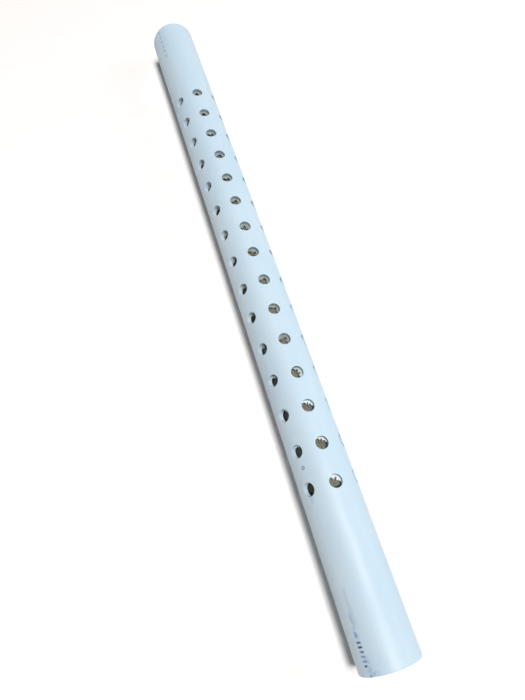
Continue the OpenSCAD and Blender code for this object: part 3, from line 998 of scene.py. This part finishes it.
def ring_outline(major, minor, y, flash):
    """A round section whose radius rises by the flash, as a narrow bell, at its inner and
    outer equators."""
    turn = np.radians(np.concatenate([np.arange(0, 14, 3.5), np.arange(14, 166, 14.6),
                                      np.arange(166, 194, 3.5), np.arange(194, 346, 14.6),
                                      np.arange(346, 360, 3.5)]))
    bell = np.exp(-(np.sin(turn) / 0.09) ** 2)
    size = minor - flash + flash * bell
    return list(zip(major + size * np.cos(turn), y + size * np.sin(turn)))


plug_cord_r = 0.0015
spigot_cord_r = 0.0007
spigot_ring_r = 0.0033
make_piece("plug_o_ring_moulded",
           turned(ring_outline(plug_r - plug_cord_r, plug_cord_r, plug_ring_y, 0.00006)),
           "cartridge", nitrile, ["plug_o_ring"], sharp=60)
make_piece("spigot_o_ring_moulded",
           turned(ring_outline(spigot_ring_r, spigot_cord_r, groove_y, 0.00003), 64),
           "cartridge", nitrile, ["spigot_o_ring"], sharp=60)

# ---------------------------------------------------------------------------------------------
# Washer. Stamped stainless: the punch rolls the near edge over and leaves the far one square.
# ---------------------------------------------------------------------------------------------
start, stop, outer = span("nut_washer")
punch_roll = 0.0005
outline = [(tube_bore_r, start + 0.0003), (tube_bore_r + 0.0002, start), (outer - 0.0012, start)]
outline += [(outer - punch_roll * (1 - math.sin(t)), start + punch_roll * (1 - math.cos(t)))
            for t in np.radians([0, 20, 40, 60, 80, 90])]
outline += [(outer, stop - 0.00008), (outer - 0.00008, stop), (tube_bore_r + 0.0001, stop),
            (tube_bore_r, stop - 0.0001)]
make_piece("nut_washer_stamped", turned(outline), "washer", stainless,
           ["nut_washer"], sharp=40)

# ---------------------------------------------------------------------------------------------
# Wing nut. Hot-forged stainless: a tapped hub that widens towards its washer, and two rounded
# ears, thick at the root and thin at the tip, that a thumb and finger turn.
# ---------------------------------------------------------------------------------------------
_, wing_stop, wing_reach = span("wing_nut")
hub_start = wing_stop - 0.007
ear_x, ear_y = 0.0086, hub_start + 0.0019
ear_tip_r = 0.006


def wing_hub(start, end):
    """The hub: a cone frustum with rolled edges and a tapped bore."""
    corners = [(tube_bore_r + 0.0005, start), (0.0054, start), (0.0064, end),
               (tube_bore_r + 0.0005, end)]
    rolled = eased(corners, 0.0007)[2:-2]
    outline = ([(tube_bore_r, start + 0.0005)] + rolled
               + rows_between(tube_bore_r, end - 0.0005, start + 0.0005, m8_pitch / 8)[:-1])
    return turned(outline, 96, lambda radius, angle, y: threaded(
        radius, angle, y, tube_bore_r, start, end, m8_pitch, -0.0005))


def ear(side):
    """One ear as a pillow about a point inside it. Its outline, in a given direction, is a
    soft least of the distances to the round tip and to straight lines at the root and the
    back. Its half thickness falls to zero at the outline as (1 - share^6)^(1/2) and grows
    towards the root."""
    turn = (np.arange(72) / 72 * math.tau)[None, :]
    share = np.concatenate([np.linspace(0, 0.8, 6), [0.88, 0.93, 0.965, 0.985, 0.996, 1.0]])
    along, back = np.cos(turn), np.sin(turn)
    off_x, off_y = ear_x - (wing_reach - ear_tip_r), ear_y - (hub_start + 0.003)
    dot = along * off_x + back * off_y
    to_round = -dot + np.sqrt(dot ** 2 - off_x ** 2 - off_y ** 2 + ear_tip_r ** 2)
    to_root = (ear_x - 0.0046) / np.maximum(-along, 0.02)
    to_back = (wing_stop - 0.0015 - ear_y) / np.maximum(back, 0.02)
    reach = (to_round ** -8 + to_root ** -8 + to_back ** -8) ** (-1 / 8)
    x = ear_x + along * reach * share[:, None]
    y = ear_y + back * reach * share[:, None]
    root = np.clip((0.0095 - x) / 0.004, 0, 1)
    half = (0.0011 + 0.0007 * root * root) * np.sqrt(np.clip(1 - share[:, None] ** 6, 0, 1))
    near = np.stack([side * x, y, axis_z + half], -1)
    far = np.stack([side * x, y, axis_z - half], -1)
    points = np.concatenate([near, far[::-1][1:]])
    quads = strip_faces(len(points), turn.size)
    return points, quads[:, ::-1] if side > 0 else quads


# The hub stops just short of its washer, so that the two never share a plane.
washer_gap = 0.00002
hub_parts = wing_hub(hub_start, wing_stop - washer_gap)
make_piece("wing_nut_forged", hub_parts + [ear(1), ear(-1)], "nut", stainless,
           ["wing_nut"], sharp=38)

# ---------------------------------------------------------------------------------------------
# Floor and light. A plain pale ground, a small lamp and a broad soft sun overhead, a large fill
# from the right, a low warm one from the left, and an even sky.
# ---------------------------------------------------------------------------------------------
floor_mesh = bpy.data.meshes.new("floor")
floor_half = 3.0
floor_mesh.from_pydata([(-floor_half, -floor_half, 0), (floor_half, -floor_half, 0),
                        (floor_half, floor_half, 0), (-floor_half, floor_half, 0)],
                       [], [(0, 1, 2, 3)])
floor = bpy.data.objects.new("floor", floor_mesh)
bpy.context.scene.collection.objects.link(floor)
paper, tree, shader, _ = new_material("pale_paper", 0.9, Specular_IOR_Level=0.2)
fibre = noise(tree, add(tree, "TexCoord").outputs["Object"], 30.0)
tree.links.new(tint(tree, fibre, (0.89, 0.865, 0.85, 1), (0.91, 0.885, 0.87, 1)),
               shader.inputs["Base Color"])
floor_mesh.materials.append(paper)


def area_light(name, place, aim, size, power, colour):
    """A square light at a place, turned towards an aim."""
    data = bpy.data.lights.new(name, "AREA")
    data.shape = "SQUARE"
    data.size = size
    data.energy = power
    data.color = colour
    light = bpy.data.objects.new(name, data)
    bpy.context.scene.collection.objects.link(light)
    light.location = place
    light.rotation_euler = (Vector(aim) - Vector(place)).to_track_quat("-Z", "Y").to_euler()


area_light("key", (0.15, -0.18, 1.28), (0, 0, 0), 0.30, 4.4, (1.0, 1.0, 1.0))
area_light("right_fill", (1.55, -0.10, 0.85), (0, 0, 0), 0.80, 7.6, (1.0, 1.0, 1.0))
area_light("left_fill", (-1.15, -0.25, 0.34), (0, 0, 0), 0.50, 1.9, (1.0, 0.86, 0.74))
sun_data = bpy.data.lights.new("overhead", "SUN")
sun_data.energy = 2.55
sun_data.angle = math.radians(16)
sun = bpy.data.objects.new("overhead", sun_data)
bpy.context.scene.collection.objects.link(sun)
sun.rotation_euler = (math.radians(8), math.radians(7.5), 0)
# The room is bright to look at and in reflections, and adds little to the light on the object.
sky = bpy.data.worlds.new("sky")
sky.use_nodes = True
tree = sky.node_tree
background = tree.nodes["Background"]
background.inputs["Color"].default_value = (1.0, 0.97, 0.95, 1)
ray = add(tree, "LightPath").outputs
sky_light = 0.04
seen = calc(tree, "MULTIPLY", ray["Is Camera Ray"], 0.84)
mirrored = calc(tree, "MULTIPLY", ray["Is Glossy Ray"], 0.45)
tree.links.new(calc(tree, "ADD", calc(tree, "ADD", seen, mirrored), sky_light),
               background.inputs["Strength"])
bpy.context.scene.world = sky
bpy.context.scene.view_settings.view_transform = "Standard"
